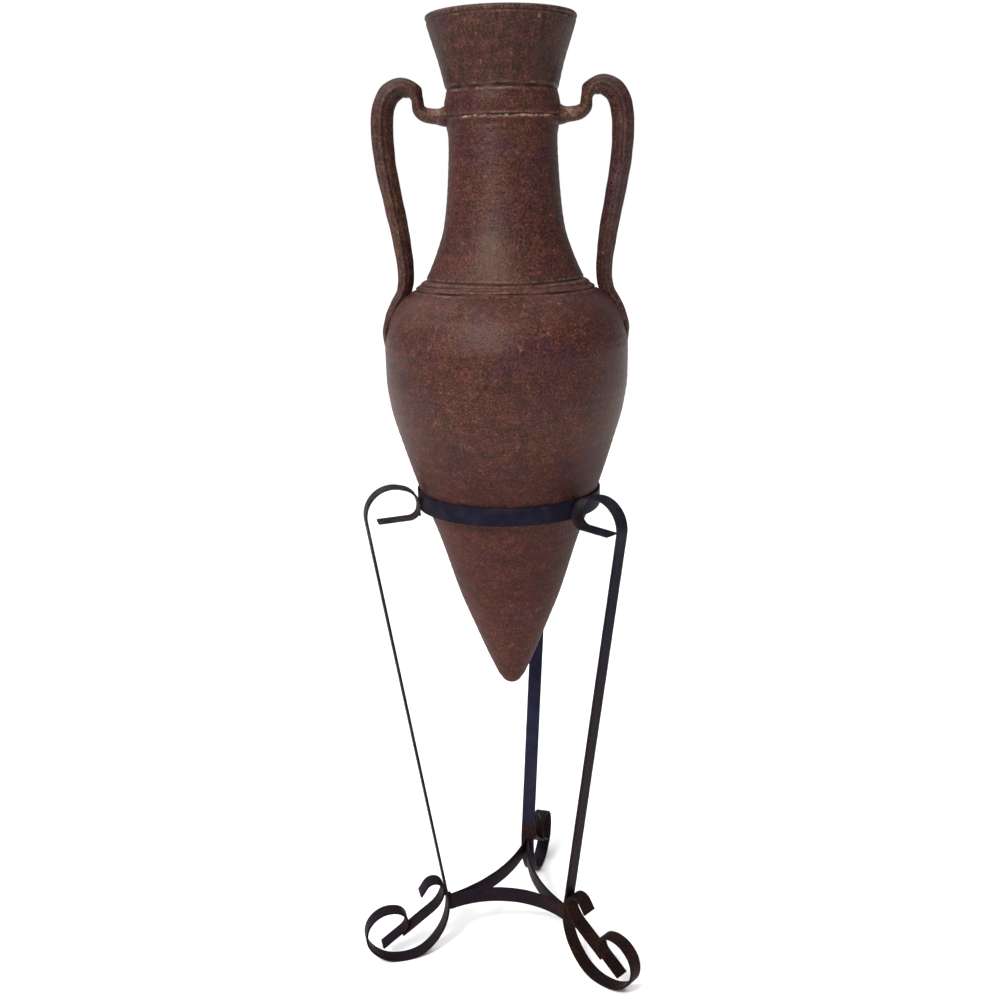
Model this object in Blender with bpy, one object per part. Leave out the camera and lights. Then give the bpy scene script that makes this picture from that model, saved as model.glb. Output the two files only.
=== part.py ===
"""A pointed clay amphora with two looped handles, held in a three-legged wrought-iron stand.

Every length below is in millimetres, and becomes metres where the meshes are made.
The amphora and the ring share one vertical axis. Each leg is one flat bar bent in an upright
plane, so a leg's shape is drawn as (distance from the axis, height) and then put round the axis.
"""

from math import atan2, cos, degrees, hypot, inf, pi, radians, sin, sqrt

import bmesh
import bpy
from mathutils import Vector

MM = 0.001
GAP = 0.3
ROUND_SIDES = 48
SPIN_MERGE = 0.01
SHARP_EDGE = 35.0

# Clay: heights are measured up from the amphora's tip.
URN_TIP_HEIGHT = 324.5
SEAM_HEIGHT = 447.0
URN_HEIGHT = 706.0
CLAY_WALL = 9.0
INNER_FLOOR = 34.0
INNER_FLOOR_EDGE = (8.0, INNER_FLOOR + 1.5)
INNER_WALL_START = INNER_FLOOR + 8.0
NOSE_RADIUS = 13.0
NOSE_TURNS = (22.0, 44.0)
BODY_STATIONS = (
    (12.0, 15.0), (40.0, 27.5), (75.0, 41.5), (110.0, 55.0), (180.0, 77.2), (231.0, 96.0),
    (281.0, 112.0), (323.0, 123.5), (352.0, 127.0), (382.0, 127.2), (408.0, 121.0), (430.0, 106.5),
    (SEAM_HEIGHT, 85.0),
)
NECK_STATIONS = (
    (SEAM_HEIGHT, 85.0), (462.0, 77.2), (482.0, 68.9), (502.0, 62.6), (528.0, 58.7), (560.0, 56.1),
    (588.0, 54.9), (602.0, 54.8), (612.0, 52.4), (634.0, 52.6), (641.0, 57.2), (664.0, 62.9),
    (680.0, 68.0), (696.0, 73.0),
)
NECK_INNER_STATIONS = (
    (SEAM_HEIGHT, 76.0), (482.0, 59.5), (528.0, 50.0), (588.0, 46.5), (634.0, 46.5), (664.0, 55.0),
    (696.0, 65.0),
)
# The neck is drawn in at the collar's seat, and flares into the cup above it.
NECK_WAIST_TOP = 602.0
COLLAR_SEAT = (612.0, 634.0, 637.5, 641.0)
CUP_BOTTOM, CUP_TOP = 652.0, 692.0
LIP_OUTLINE = ((74.0, 698.5), (74.6, 702.0), (73.8, 705.0), (71.0, URN_HEIGHT), (68.2, 704.5), (66.8, 701.0))
COLLAR_BOTTOM, COLLAR_TOP, COLLAR_RADIUS = 614.0, 633.0, 56.6
CORDON_BOTTOM, CORDON_TOP = 442.6, 451.4
CORDON_PROUD = 2.6
# A clay band's outside: (share of its height, share of its thickness) from bottom to top.
BAND_SHAPE = ((0.0, 0.25), (0.22, 0.8), (0.5, 1.0), (0.78, 0.8), (1.0, 0.25))
OUTSIDE_STEP, CUP_STEP, INSIDE_STEP, BAND_STEP = 20.0, 13.0, 35.0, 5.0

# Handles: (distance from the axis, height above the tip, thickness in the loop's plane, width across it)
HANDLE_STATIONS = (
    (56.0, 612.6, 21.5, 23.0), (60.5, 612.0, 17.5, 22.0), (67.0, 612.4, 14.5, 20.0),
    (76.5, 614.0, 14.0, 19.0), (83.5, 620.2, 12.5, 19.0), (84.8, 629.2, 11.5, 20.0),
    (89.5, 637.2, 16.0, 22.0), (99.5, 640.2, 19.0, 24.0), (112.0, 634.2, 21.5, 26.0),
    (119.5, 618.5, 22.0, 26.0), (121.3, 599.0, 22.0, 26.0),
    (119.5, 569.5, 21.0, 25.0), (113.0, 531.0, 19.8, 24.0), (106.0, 492.0, 18.2, 22.5),
    (102.6, 458.0, 16.4, 21.5), (105.2, 441.0, 15.5, 21.5), (113.6, 426.5, 13.5, 21.5),
    (121.3, 412.0, 10.5, 19.0), (125.8, 397.0, 7.5, 15.0), (127.0, 382.0, 4.0, 10.0),
)
HANDLE_SIDES = 12
HANDLE_STEPS = 2
HANDLE_CLEARANCE = 0.7
TAIL_LEAST_PROUD = 1.6
COLLAR_MARGIN = 3.0

# Iron: one flat bar stock for legs, hooks and ties, and a slightly wider one for the ring.
LEG_WIDTH = 16.5
BAR_WIDTH = 18.0
RING_WIDTH = 19.0
BAR_THICKNESS = 2.6
RING_RADIUS = 99.0
RING_BOTTOM = 536.5

# One leg, drawn both ways from its waist, the innermost point just above the foot scroll.
# A run is (bend radius, bend angle in degrees, left turns positive) or (straight length,).
LEG_LEAN = 8.8
WAIST_BEND = 70.0
LEG_STRAIGHT = 459.0
LOOP_RUNS = ((30.0, 113.0), (4.5,), (20.6, 87.0), (11.0, 76.0), (34.0,))
FOOT_FLAT = 4.0
FOOT_RUNS = ((WAIST_BEND, 49.0), (43.0, 41.0), (FOOT_FLAT,), (43.0, 57.0), (28.3, 144.0), (14.3, 124.0), (28.5,))
BEND_STEP = 12.0

# The hooked brace lies under the scroll's tail and climbs to the leg's outer face.
BRACE_LAP = 2.0
HOOK_RUNS = ((34.0, -43.0), (11.2, -157.5), (11.8,))

# Name of each leg: direction of its ring joint, direction of the plane it is bent in (degrees
# from +X, turning towards +Y), and its sideways lean in millimetres per metre of height.
LEGS = {
    "right": (-46.0, -43.7, -3.0),
    "left": (195.6, 194.0, 27.5),
    "rear": (73.2, 73.8, 18.0),
}
TIES = {"front": ("left", "right"), "side_right": ("right", "rear"), "side_left": ("rear", "left")}
TIE_MID_RADIUS = 24.8
TIE_HEIGHT = 62.0
TIE_STEPS = 18

WELD_RADIUS = 1.3
WELD_LENGTH = 12.0
TIE_WELD_LENGTH = 8.0
WELD_SIDES = 8
WELD_END = 0.45


def clear_scene():
    for obj in list(bpy.data.objects):
        bpy.data.objects.remove(obj, do_unlink=True)


def make_material(name, colour, roughness, metallic):
    material = bpy.data.materials.new(name)
    material.use_nodes = True
    shader = material.node_tree.nodes["Principled BSDF"]
    shader.inputs["Base Color"].default_value = (*colour, 1.0)
    shader.inputs["Roughness"].default_value = roughness
    shader.inputs["Metallic"].default_value = metallic
    return material


def finish_solid(name, work, material, root):
    """Turns a bmesh into a named object with outward faces, its material and smooth shading."""
    bmesh.ops.triangulate(work, faces=[face for face in work.faces if len(face.verts) > 4])
    bmesh.ops.recalc_face_normals(work, faces=work.faces)
    mesh = bpy.data.meshes.new(name)
    work.to_mesh(mesh)
    work.free()
    mesh.shade_smooth()
    mesh.set_sharp_from_angle(angle=radians(SHARP_EDGE))
    mesh.materials.append(material)
    obj = bpy.data.objects.new(name, mesh)
    bpy.context.collection.objects.link(obj)
    obj.parent = root
    return obj


def sweep(name, sections, material, root, first_cap=None):
    """A solid that runs through sections of equally many corner points, in millimetres. Its first
    end is one flat face, or a fan about first_cap where that end follows a round surface."""
    work = bmesh.new()
    rings = [[work.verts.new(Vector(corner) * MM) for corner in section] for section in sections]
    sides = len(rings[0])
    for near, far in zip(rings, rings[1:]):
        for side in range(sides):
            after = (side + 1) % sides
            work.faces.new((near[side], near[after], far[after], far[side]))
    work.faces.new(rings[-1])
    if first_cap is None:
        work.faces.new(rings[0])
    else:
        middle = work.verts.new(Vector(first_cap) * MM)
        for side in range(sides):
            work.faces.new((middle, rings[0][side], rings[0][(side + 1) % sides]))
    return finish_solid(name, work, material, root)


# ---- Clay ----

def smooth_through(stations):
    """A function that runs smoothly through (position, value) stations without overshooting them."""
    spans = [b[0] - a[0] for a, b in zip(stations, stations[1:])]
    slopes = [(b[1] - a[1]) / span for a, b, span in zip(stations, stations[1:], spans)]
    tangents = [slopes[0]]
    for before, after in zip(slopes, slopes[1:]):
        same_way = before * after > 0
        tangents.append(2 * before * after / (before + after) if same_way else 0.0)
    tangents.append(slopes[-1])

    def value(position):
        last = len(spans) - 1
        index = next((i for i in range(last) if position <= stations[i + 1][0]), last)
        start, span = stations[index], spans[index]
        t = (position - start[0]) / span
        rise = stations[index + 1][1] - start[1]
        cubic = t * t * (3 - 2 * t)
        ease_out = t * (1 - t) ** 2 * span * tangents[index]
        ease_in = t * t * (t - 1) * span * tangents[index + 1]
        return start[1] + rise * cubic + ease_out + ease_in

    return value


body_radius = smooth_through(BODY_STATIONS)
neck_radius = smooth_through(NECK_STATIONS)
neck_inner_radius = smooth_through(NECK_INNER_STATIONS)


def clay_radius(height):
    """The amphora's outer radius at a height above its tip, bands left out."""
    return body_radius(height) if height < SEAM_HEIGHT else neck_radius(height)


def heights(low, high, step):
    count = max(1, round((high - low) / step))
    return [low + (high - low) * i / count for i in range(count + 1)]


def lathe(name, outline, material, root, lift=URN_TIP_HEIGHT):
    """A solid spun about the axis. An outline that starts and ends at radius 0 closes there, and
    any other outline is a loop that closes on itself."""
    work = bmesh.new()
    corners = [work.verts.new((radius * MM, 0.0, (height + lift) * MM)) for radius, height in outline]
    edges = [work.edges.new(pair) for pair in zip(corners, corners[1:])]
    if outline[0][0] > 0:
        edges.append(work.edges.new((corners[-1], corners[0])))
    bmesh.ops.spin(
        work, geom=corners + edges, cent=(0, 0, 0), axis=(0, 0, 1), angle=2 * pi, steps=ROUND_SIDES
    )
    bmesh.ops.remove_doubles(work, verts=work.verts, dist=SPIN_MERGE * MM)
    return finish_solid(name, work, material, root)


def build_urn_body(clay, root):
    """Thrown body: rounded nose, cone, belly and shoulder, hollow above INNER_FLOOR."""
    nose_turns = [radians(angle) for angle in NOSE_TURNS]
    outline = [(0.0, 0.0)]
    outline += [(NOSE_RADIUS * sin(turn), NOSE_RADIUS * (1 - cos(turn))) for turn in nose_turns]
    top = SEAM_HEIGHT - GAP / 2
    outline += [(body_radius(height), height) for height in heights(BODY_STATIONS[0][0], top, OUTSIDE_STEP)]
    inside = reversed(heights(INNER_WALL_START, top, INSIDE_STEP))
    outline += [(body_radius(height) - CLAY_WALL, height) for height in inside]
    outline += [INNER_FLOOR_EDGE, (0.0, INNER_FLOOR)]
    lathe("urn_body", outline, clay, root)


def build_urn_neck(clay, root):
    """Thrown neck with its flared cup mouth, luted on to the body under the shoulder band."""
    bottom = SEAM_HEIGHT + GAP / 2
    outside = heights(bottom, NECK_WAIST_TOP, OUTSIDE_STEP) + list(COLLAR_SEAT)
    outside += heights(CUP_BOTTOM, CUP_TOP, CUP_STEP)
    outline = [(neck_radius(height), height) for height in outside]
    outline += LIP_OUTLINE
    outline += [(neck_inner_radius(height), height) for height in reversed(heights(bottom, CUP_TOP, INSIDE_STEP))]
    lathe("urn_neck", outline, clay, root)


def band_outline(bottom, top, inner, outer):
    """A band with a rounded outside. inner and outer give its radii at a height."""
    outside = []
    for rise, share in BAND_SHAPE:
        height = bottom + rise * (top - bottom)
        outside.append((inner(height) + share * (outer(height) - inner(height)), height))
    inside = [(inner(height), height) for height in reversed(heights(bottom, top, BAND_STEP))]
    return outside + inside


def build_clay_bands(clay, root):
    collar = band_outline(
        COLLAR_BOTTOM, COLLAR_TOP, lambda height: neck_radius(height) + GAP, lambda height: COLLAR_RADIUS
    )
    lathe("neck_collar", collar, clay, root)
    cordon = band_outline(
        CORDON_BOTTOM, CORDON_TOP, lambda height: clay_radius(height) + GAP,
        lambda height: clay_radius(height) + CORDON_PROUD,
    )
    lathe("shoulder_cordon", cordon, clay, root)


def handle_rings():
    """(radius, height, thickness, width, direction) of each section along a handle."""
    columns = [smooth_through(list(enumerate(column))) for column in zip(*HANDLE_STATIONS)]
    count = (len(HANDLE_STATIONS) - 1) * HANDLE_STEPS
    sections = [[column(i / HANDLE_STEPS) for column in columns] for i in range(count + 1)]
    rings = []
    for i, section in enumerate(sections):
        before, after = sections[max(i - 1, 0)], sections[min(i + 1, count)]
        rings.append((*section, atan2(after[1] - before[1], after[0] - before[0])))
    return rings


def build_handle(name, side, clay, root):
    """A pulled strap handle: from the collar out, up over a loop, and down on to the shoulder.
    side is 1 at +X and -1 at -X. The first ring, and any point inside the amphora, lies on it."""
    rings = handle_rings()
    sections = []
    for ring, (radius, height, thickness, width, heading) in enumerate(rings):
        section = []
        for number in range(HANDLE_SIDES):
            turn = 2 * pi * number / HANDLE_SIDES
            outwards = thickness / 2 * cos(turn)
            across = width / 2 * sin(turn)
            x = radius - outwards * sin(heading)
            z = height + outwards * cos(heading)
            least = TAIL_LEAST_PROUD * max(0.0, cos(turn)) if height < SEAM_HEIGHT else 0.0
            on_collar = COLLAR_BOTTOM - COLLAR_MARGIN < z < COLLAR_TOP + COLLAR_MARGIN
            surface = COLLAR_RADIUS if on_collar else clay_radius(z)
            reach = surface + HANDLE_CLEARANCE + least
            if ring == 0 or hypot(x, across) < reach:
                x = sqrt(reach**2 - across**2)
            section.append((side * x, across, z + URN_TIP_HEIGHT))
        sections.append(section)
    pad_middle = (side * (COLLAR_RADIUS + HANDLE_CLEARANCE), 0.0, rings[0][1] + URN_TIP_HEIGHT)
    sweep(name, sections, clay, root, first_cap=pad_middle)


# ---- Iron ----

def bend_path(start, heading, runs):
    """Centre points and headings (radians) of a bar bent through runs from start."""
    r, z = start
    turn = radians(heading)
    path = [(r, z, turn)]
    for run in runs:
        if len(run) == 1:
            r += run[0] * cos(turn)
            z += run[0] * sin(turn)
            path.append((r, z, turn))
            continue
        radius, angle = run
        steps = max(2, round(abs(angle) / BEND_STEP))
        step = radians(angle) / steps
        chord = 2 * radius * sin(abs(step) / 2)
        for _ in range(steps):
            r += chord * cos(turn + step / 2)
            z += chord * sin(turn + step / 2)
            turn += step
            path.append((r, z, turn))
    return path


def shifted(path, dr, dz):
    return [(r + dr, z + dz, turn) for r, z, turn in path]


def leg_profile():
    """The whole leg, standing on the floor and touching the ring, with the points on it that its
    neighbours meet: the waist, the start of the straight, the ring's touching point and the
    start of the scroll's tail."""
    foot = bend_path((0.0, 0.0), 270.0, FOOT_RUNS)
    rise = bend_path((0.0, 0.0), 90.0, ((WAIST_BEND, -LEG_LEAN),))
    r, z, turn = rise[-1]
    top = bend_path((r, z), degrees(turn), ((LEG_STRAIGHT,), *LOOP_RUNS))
    dr = RING_RADIUS + GAP + BAR_THICKNESS / 2 - min(r for r, z, turn in top[1:])
    dz = BAR_THICKNESS / 2 - min(z for r, z, turn in foot)
    foot, rise, top = (shifted(path, dr, dz) for path in (foot, rise, top))
    backwards = [(r, z, turn + pi) for r, z, turn in reversed(foot)]
    marks = {
        "waist": foot[0],
        "straight": top[0],
        "ring_touch": min(top[1:], key=lambda point: point[0]),
        "tail": foot[-2],
    }
    return backwards + rise[1:] + top[1:], marks


def beside(point, distance):
    """The point that lies a distance to the right of a path's heading."""
    r, z, turn = point
    return r + distance * sin(turn), z - distance * cos(turn)


def distance_right_of(point, line):
    """How far a point lies to the right of the line through a path point along its heading."""
    r, z, turn = line
    return (point[0] - r) * sin(turn) - (point[1] - z) * cos(turn)


def brace_profile(marks):
    """The brace: under the scroll's tail, straight up to the leg's outer face, and the hook."""
    r, z = beside(marks["tail"], BAR_THICKNESS + GAP)
    tail_turn = marks["tail"][2]
    start = (r + BRACE_LAP * cos(tail_turn), z + BRACE_LAP * sin(tail_turn))
    climb = tail_turn + pi
    hook = bend_path(start, degrees(climb), HOOK_RUNS)
    reach = min(distance_right_of(point, marks["straight"]) for point in hook)
    straight = (reach - BAR_THICKNESS - GAP) / sin(climb - marks["straight"][2])
    return bend_path(start, degrees(climb), ((straight,), *HOOK_RUNS))


class LegPlace:
    """Puts (distance, height, sideways) of one leg's plane into the object's frame."""

    def __init__(self, ring_direction, plane_direction, lean):
        self.pivot = RING_RADIUS + GAP + BAR_THICKNESS / 2
        ring_turn, plane_turn = radians(ring_direction), radians(plane_direction)
        self.base = Vector((cos(ring_turn), sin(ring_turn), 0.0)) * self.pivot
        self.out = Vector((cos(plane_turn), sin(plane_turn), 0.0))
        self.side = Vector((-sin(plane_turn), cos(plane_turn), 0.0))
        self.lean = lean * MM

    def point(self, r, z, sideways=0.0):
        sideways += self.lean * (RING_BOTTOM - z)
        return self.base + self.out * (r - self.pivot) + self.side * sideways + Vector((0.0, 0.0, z))


def build_upright_bar(name, path, width, place, iron, root):
    """A flat bar bent along a path in a leg's plane, its width across the plane."""
    sections = []
    for r, z, turn in path:
        section = []
        for side, sideways in ((1, 0.5), (1, -0.5), (-1, -0.5), (-1, 0.5)):
            edge_r, edge_z = beside((r, z, turn), side * BAR_THICKNESS / 2)
            section.append(place.point(edge_r, edge_z, sideways * width))
        sections.append(section)
    sweep(name, sections, iron, root)


def arc_through(a, b, c, steps):
    """Points and inward normals along the flat arc from a through b to c."""
    ab, ac = b - a, c - a
    twice_area = 2 * (ab.x * ac.y - ab.y * ac.x)
    square_b, square_c = ab.length_squared, ac.length_squared
    centre = a + Vector((ac.y * square_b - ab.y * square_c, ab.x * square_c - ac.x * square_b)) / twice_area
    first, last = a - centre, c - centre
    sweep = first.angle_signed(last)
    result = []
    for i in range(steps + 1):
        turn = atan2(first.y, first.x) - sweep * i / steps
        normal = Vector((cos(turn), sin(turn)))
        result.append((centre + normal * first.length, normal))
    return result


def tie_end(place, waist, towards):
    """Where a tie meets a leg's inner face, beside the other tie that meets it there."""
    inner_face = waist[0] - BAR_THICKNESS / 2 - 2 * GAP
    beside_middle = (BAR_THICKNESS + GAP) / 2
    choices = [place.point(inner_face, TIE_HEIGHT, side * beside_middle).to_2d() for side in (1, -1)]
    return min(choices, key=lambda choice: (choice - towards).length)


def build_tie(name, places, waist, iron, root):
    """A flat bar on edge, bowed towards the axis between two legs."""
    middles = [place.point(waist[0], TIE_HEIGHT).to_2d() for place in places]
    between = ((middles[0].normalized() + middles[1].normalized()) / 2).normalized() * TIE_MID_RADIUS
    ends = [tie_end(place, waist, between) for place in places]
    sections = []
    for middle, normal in arc_through(ends[0], between, ends[1], TIE_STEPS):
        corners = ((0.5, 0.5), (0.5, -0.5), (-0.5, -0.5), (-0.5, 0.5))
        sections.append([
            (*(middle + normal * across * BAR_THICKNESS), TIE_HEIGHT + up * BAR_WIDTH) for across, up in corners
        ])
    sweep(name, sections, iron, root)


def distance_to_path(point, path):
    """The shortest distance from a point to a path's centre line."""
    best = inf
    for (r0, z0, _), (r1, z1, _) in zip(path, path[1:]):
        span_r, span_z = r1 - r0, z1 - z0
        share = ((point[0] - r0) * span_r + (point[1] - z0) * span_z) / (span_r**2 + span_z**2)
        share = min(1.0, max(0.0, share))
        best = min(best, hypot(point[0] - r0 - share * span_r, point[1] - z0 - share * span_z))
    return best


def nook(start, heading, path):
    """The first place for a weld, going from start along heading, that is clear of a bar's path."""
    step = 0.1
    r, z = start
    while distance_to_path((r, z), path) < BAR_THICKNESS / 2 + GAP + WELD_RADIUS:
        r += step * cos(heading)
        z += step * sin(heading)
    return r, z


def weld_places(leg, brace, marks):
    """Where each leg's four weld beads lie in its plane."""
    bead = GAP + WELD_RADIUS
    on_bar = BAR_THICKNESS / 2 + bead
    touch = min(brace, key=lambda point: distance_right_of(point, marks["straight"]))
    leg_turn = marks["straight"][2]
    inset = distance_right_of(touch, marks["straight"]) - on_bar
    beside_leg = (touch[0] - inset * sin(leg_turn), touch[1] + inset * cos(leg_turn))
    return {
        "ring_weld": nook((RING_RADIUS + bead, marks["ring_touch"][1]), -pi / 2, leg),
        "hook_weld": nook(beside_leg, leg_turn + pi, brace),
        "foot_weld": nook(beside(brace[0], on_bar), brace[0][2], leg),
        "tie_weld": nook((marks["waist"][0] - on_bar, TIE_HEIGHT + BAR_WIDTH / 2 + bead), pi, leg),
    }


def build_weld(name, place, centre, length, iron, root):
    """A short rounded bead across a leg's plane."""
    r, z = centre
    middle = length / 2 - WELD_RADIUS
    sections = []
    for sideways, share in ((-length / 2, WELD_END), (-middle, 1.0), (middle, 1.0), (length / 2, WELD_END)):
        radius = WELD_RADIUS * share
        turns = [2 * pi * side / WELD_SIDES for side in range(WELD_SIDES)]
        sections.append([place.point(r + radius * cos(turn), z + radius * sin(turn), sideways) for turn in turns])
    sweep(name, sections, iron, root)


def build_ring(iron, root):
    inner = RING_RADIUS - BAR_THICKNESS
    bottom, top = RING_BOTTOM, RING_BOTTOM + RING_WIDTH
    outline = ((RING_RADIUS, bottom), (RING_RADIUS, top), (inner, top), (inner, bottom))
    lathe("support_ring", outline, iron, root, lift=0.0)


def build_stand(iron, weld_iron, root):
    build_ring(iron, root)
    leg, marks = leg_profile()
    brace = brace_profile(marks)
    welds = weld_places(leg, brace, marks)
    places = {name: LegPlace(*directions) for name, directions in LEGS.items()}
    for name, place in places.items():
        build_upright_bar(f"leg_{name}", leg, LEG_WIDTH, place, iron, root)
        build_upright_bar(f"brace_{name}", brace, BAR_WIDTH, place, iron, root)
        for weld, (r, z) in welds.items():
            length = TIE_WELD_LENGTH if weld == "tie_weld" else WELD_LENGTH
            build_weld(f"{weld}_{name}", place, (r, z), length, weld_iron, root)
    for name, ends in TIES.items():
        build_tie(f"tie_{name}", [places[end] for end in ends], marks["waist"], iron, root)


def stand_on_floor(root):
    """Moves the whole object so that its box is centred over the origin and rests on z = 0."""
    bpy.context.view_layer.update()
    corners = [
        obj.matrix_world @ vertex.co for obj in root.children for vertex in obj.data.vertices
    ]
    for axis in (0, 1):
        values = [corner[axis] for corner in corners]
        root.location[axis] = -(min(values) + max(values)) / 2
    root.location[2] = -min(corner[2] for corner in corners)


def main():
    clear_scene()
    root = bpy.data.objects.new("amphora_on_stand", None)
    bpy.context.collection.objects.link(root)
    clay = make_material("fired_clay", (0.085, 0.038, 0.033), 0.85, 0.0)
    iron = make_material("black_iron", (0.016, 0.014, 0.022), 0.55, 0.3)
    weld_iron = make_material("weld_iron", (0.03, 0.02, 0.018), 0.7, 0.3)
    build_urn_body(clay, root)
    build_urn_neck(clay, root)
    build_clay_bands(clay, root)
    build_handle("handle_right", 1, clay, root)
    build_handle("handle_left", -1, clay, root)
    build_stand(iron, weld_iron, root)
    stand_on_floor(root)


main()
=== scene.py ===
"""Looks of a pointed clay amphora in its wrought-iron stand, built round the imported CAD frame.

Lengths are millimetres from the amphora's axis and from the floor, and clay heights are measured
up from the amphora's tip, as in the CAD source. They become metres where the meshes are made.
Every CAD solid is replaced by a finer piece of the same shape: thrown clay with its grooves,
fluted handles, and hammered flat bar with rounded edges and lumpy welds.
"""

from math import atan2, cos, degrees, hypot, pi, radians, sin

import bmesh
import bpy
import numpy as np
from mathutils import Matrix, Vector, noise


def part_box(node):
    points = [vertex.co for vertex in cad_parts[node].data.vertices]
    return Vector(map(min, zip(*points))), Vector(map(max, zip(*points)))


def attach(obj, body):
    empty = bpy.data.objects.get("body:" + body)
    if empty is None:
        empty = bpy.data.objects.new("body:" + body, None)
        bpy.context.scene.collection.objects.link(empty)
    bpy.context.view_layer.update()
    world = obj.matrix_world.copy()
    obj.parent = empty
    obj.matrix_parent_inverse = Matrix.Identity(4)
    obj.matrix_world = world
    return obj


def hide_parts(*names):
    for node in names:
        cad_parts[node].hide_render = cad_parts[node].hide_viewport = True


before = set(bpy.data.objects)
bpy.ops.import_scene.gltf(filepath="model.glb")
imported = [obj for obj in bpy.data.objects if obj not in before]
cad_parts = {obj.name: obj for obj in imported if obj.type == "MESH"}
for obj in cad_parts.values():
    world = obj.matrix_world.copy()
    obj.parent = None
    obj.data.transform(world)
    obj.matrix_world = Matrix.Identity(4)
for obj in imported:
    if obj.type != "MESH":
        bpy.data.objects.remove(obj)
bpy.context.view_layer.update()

MM = 0.001
FAR = 1e9
ring_low, ring_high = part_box("support_ring")
AXIS = Vector(((ring_low.x + ring_high.x) / 2, (ring_low.y + ring_high.y) / 2, 0.0))

# ---- Sizes shared with the CAD source ----

# Clay outlines: (height, radius) of the walls, and (radius, height) of the lip and the inner floor.
URN_TIP_HEIGHT = 324.5
SEAM_HEIGHT = 447.0
URN_HEIGHT = 706.0
CLAY_WALL = 9.0
INNER_FLOOR = 34.0
INNER_FLOOR_EDGE = (8.0, INNER_FLOOR + 1.5)
INNER_WALL_START = INNER_FLOOR + 8.0
NOSE_RADIUS = 13.0
NOSE_TURNS = [radians(turn) for turn in range(8, 66, 8)]
BODY_STATIONS = (
    (12.0, 15.0), (40.0, 27.5), (75.0, 41.5), (110.0, 55.0), (180.0, 77.2), (231.0, 96.0),
    (281.0, 112.0), (323.0, 123.5), (352.0, 127.0), (382.0, 127.2), (408.0, 121.0), (430.0, 106.5),
    (SEAM_HEIGHT, 85.0),
)
NECK_STATIONS = (
    (SEAM_HEIGHT, 85.0), (462.0, 77.2), (482.0, 68.9), (502.0, 62.6), (528.0, 58.7), (560.0, 56.1),
    (588.0, 54.9), (602.0, 54.9), (613.0, 55.6), (624.0, 56.6), (635.0, 56.0), (643.0, 57.6),
    (664.0, 62.9), (680.0, 68.0), (696.0, 73.0), (702.0, 74.6),
)
NECK_INNER_STATIONS = (
    (SEAM_HEIGHT, 76.0), (482.0, 59.5), (528.0, 50.0), (588.0, 46.5), (634.0, 46.5), (664.0, 55.0),
    (696.0, 65.0),
)
LIP_OUTLINE = (
    (74.6, 702.0), (74.7, 702.8), (74.6, 703.8), (74.1, 704.8), (73.0, 705.6), (71.4, URN_HEIGHT),
    (69.6, 705.8), (68.0, 704.8), (67.0, 703.2), (66.4, 701.0),
)
# Handles: (radius, height, thickness in the loop's plane, width across it) from pad to tail.
HANDLE_STATIONS = (
    (54.0, 612.6, 21.5, 23.0), (60.5, 612.0, 17.5, 22.0), (67.0, 612.4, 14.5, 20.0),
    (76.5, 614.0, 14.0, 19.0), (83.5, 620.2, 12.5, 19.0), (84.8, 629.2, 11.5, 20.0),
    (89.5, 637.2, 16.0, 22.0), (99.5, 640.2, 19.0, 24.0), (112.0, 634.2, 21.5, 26.0),
    (119.5, 618.5, 22.0, 26.0), (121.3, 599.0, 22.0, 26.0),
    (119.5, 569.5, 21.0, 25.0), (113.0, 531.0, 19.8, 24.0), (106.0, 492.0, 18.2, 22.5),
    (102.6, 458.0, 16.4, 21.5), (105.2, 441.0, 15.5, 21.5), (113.6, 426.5, 13.5, 21.5),
    (121.3, 412.0, 10.5, 19.0), (125.8, 397.0, 7.0, 15.0), (126.4, 378.0, 1.6, 7.0),
)

# Iron: one flat bar stock for legs, hooks and ties, and a slightly wider one for the ring.
LEG_WIDTH = 16.5
BAR_WIDTH = 18.0
RING_WIDTH = 19.0
BAR_THICKNESS = 2.6
GAP = 0.3
RING_RADIUS = 99.0
RING_BOTTOM = 536.5
LEG_LEAN = 8.8
WAIST_BEND = 70.0
LEG_STRAIGHT = 459.0
# A run is (bend radius, bend angle in degrees, left turns positive) or (straight length,).
LOOP_RUNS = ((30.0, 113.0), (4.5,), (20.6, 87.0), (11.0, 76.0), (34.0,))
FOOT_FLAT = 4.0
FOOT_RUNS = (
    (WAIST_BEND, 49.0), (43.0, 41.0), (FOOT_FLAT,), (43.0, 57.0), (28.3, 144.0), (14.3, 124.0), (28.5,),
)
BRACE_LAP = 2.0
HOOK_RUNS = ((34.0, -43.0), (11.2, -157.5), (11.8,))
# Each leg's direction at the ring and the direction of its plane, in degrees, and its sideways
# lean in millimetres per metre of height.
LEGS = {
    "right": (-46.0, -43.7, -3.0),
    "left": (195.6, 194.0, 27.5),
    "rear": (73.2, 73.8, 18.0),
}
TIES = {"front": ("left", "right"), "side_right": ("right", "rear"), "side_left": ("rear", "left")}
TIE_MID_RADIUS = 24.8
TIE_HEIGHT = 62.0

# ---- Clay detail ----

URN_SIDES = 256
COARSE_STEP = 2.6
FINE_STEP = 0.75
INSIDE_STEP = 9.0
# The stretches of the outside that hold incised lines, where its rings lie close together.
FINE_STRETCHES = ((434.0, 458.0), (600.0, 642.0), (692.0, 701.4))
# Fingers leave a spiral ripple: its rise per turn and its depth, and the size of the swells that
# shift it and make it deeper in places.
THROWING_RISE, THROWING_DEPTH = 8.5, 0.16
SWELL_SIZE, SWELL_SHIFT, LEAST_SWELL = 30.0, 2.2, 0.6
# The pot's slow wobble, and where it and the ripple fade out beside the ring and on the nose.
OUT_OF_ROUND, WOBBLE_SIZE = 0.35, 75.0
RING_CALM = 22.0
NOSE_CALM = (10.0, 60.0)
# Where the front's dips begin and are full, from 0 at the sides to 1 straight in front.
FRONT = (0.1, 1.0)
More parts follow.
